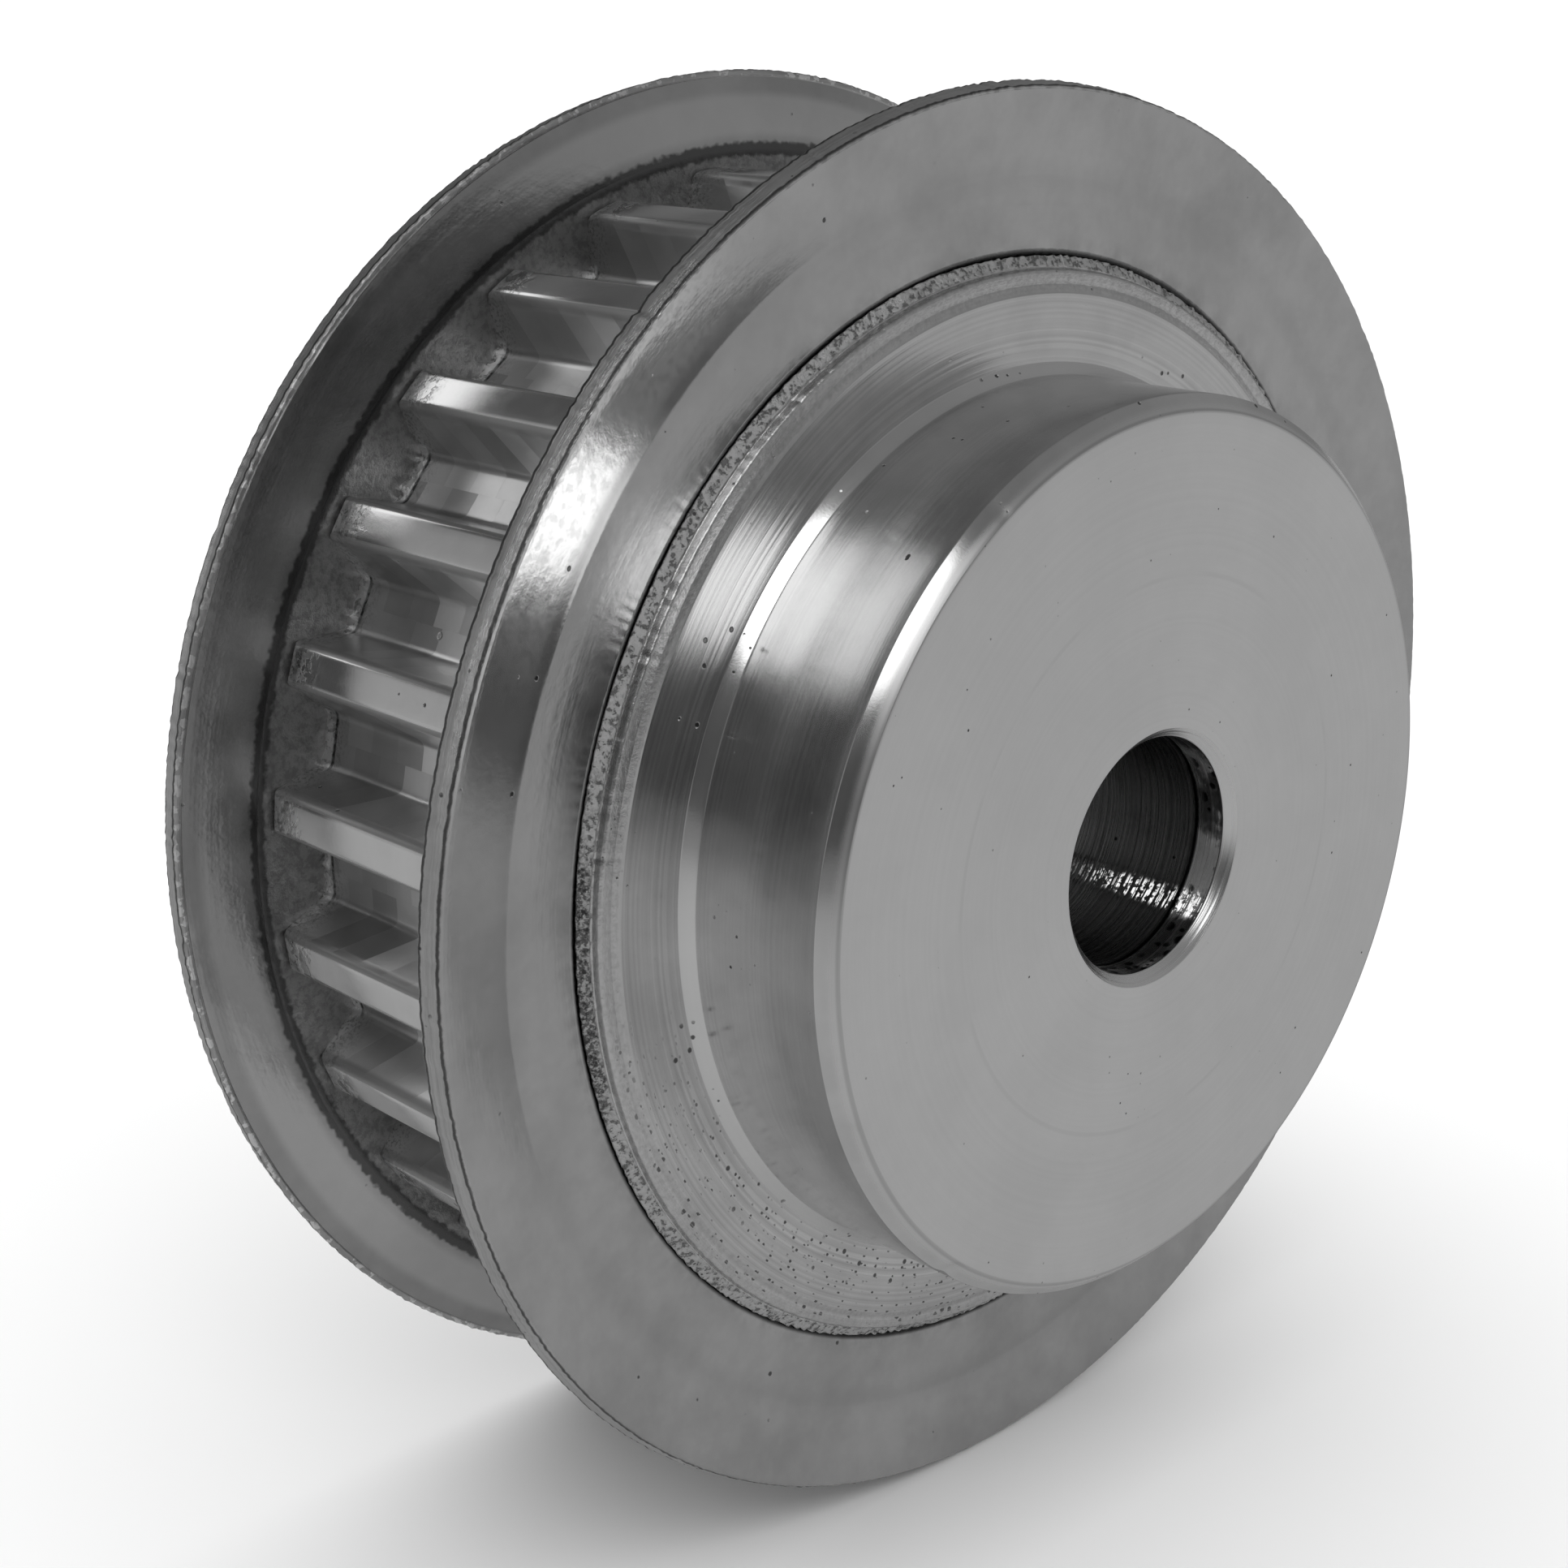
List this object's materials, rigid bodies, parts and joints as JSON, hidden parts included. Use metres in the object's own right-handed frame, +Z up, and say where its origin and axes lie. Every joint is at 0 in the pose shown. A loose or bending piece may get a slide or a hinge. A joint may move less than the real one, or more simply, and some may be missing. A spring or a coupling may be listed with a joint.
{
  "type": "timing belt pulley",
  "caption": "Metric timing belt pulley with straight trapezoidal teeth, crimped steel flanges, a short hub on one side and a plain through bore.",
  "frame": {"origin": "on the bore's axis, half-way along the teeth", "axes": "Y is the bore's axis, with the hub at -Y and the rear face at +Y; Z is up when the pulley turns on a horizontal shaft"},
  "size_m": [0.0484, 0.021, 0.0484],
  "materials": {
    "machined_aluminium": "turned and hobbed, satin",
    "flange_steel": "zinc plated sheet, satin"
  },
  "bodies": {
    "root": {"toothed_body": "machined_aluminium", "hub_side_flange": "flange_steel", "rear_flange": "flange_steel"}
  },
  "joints": []
}
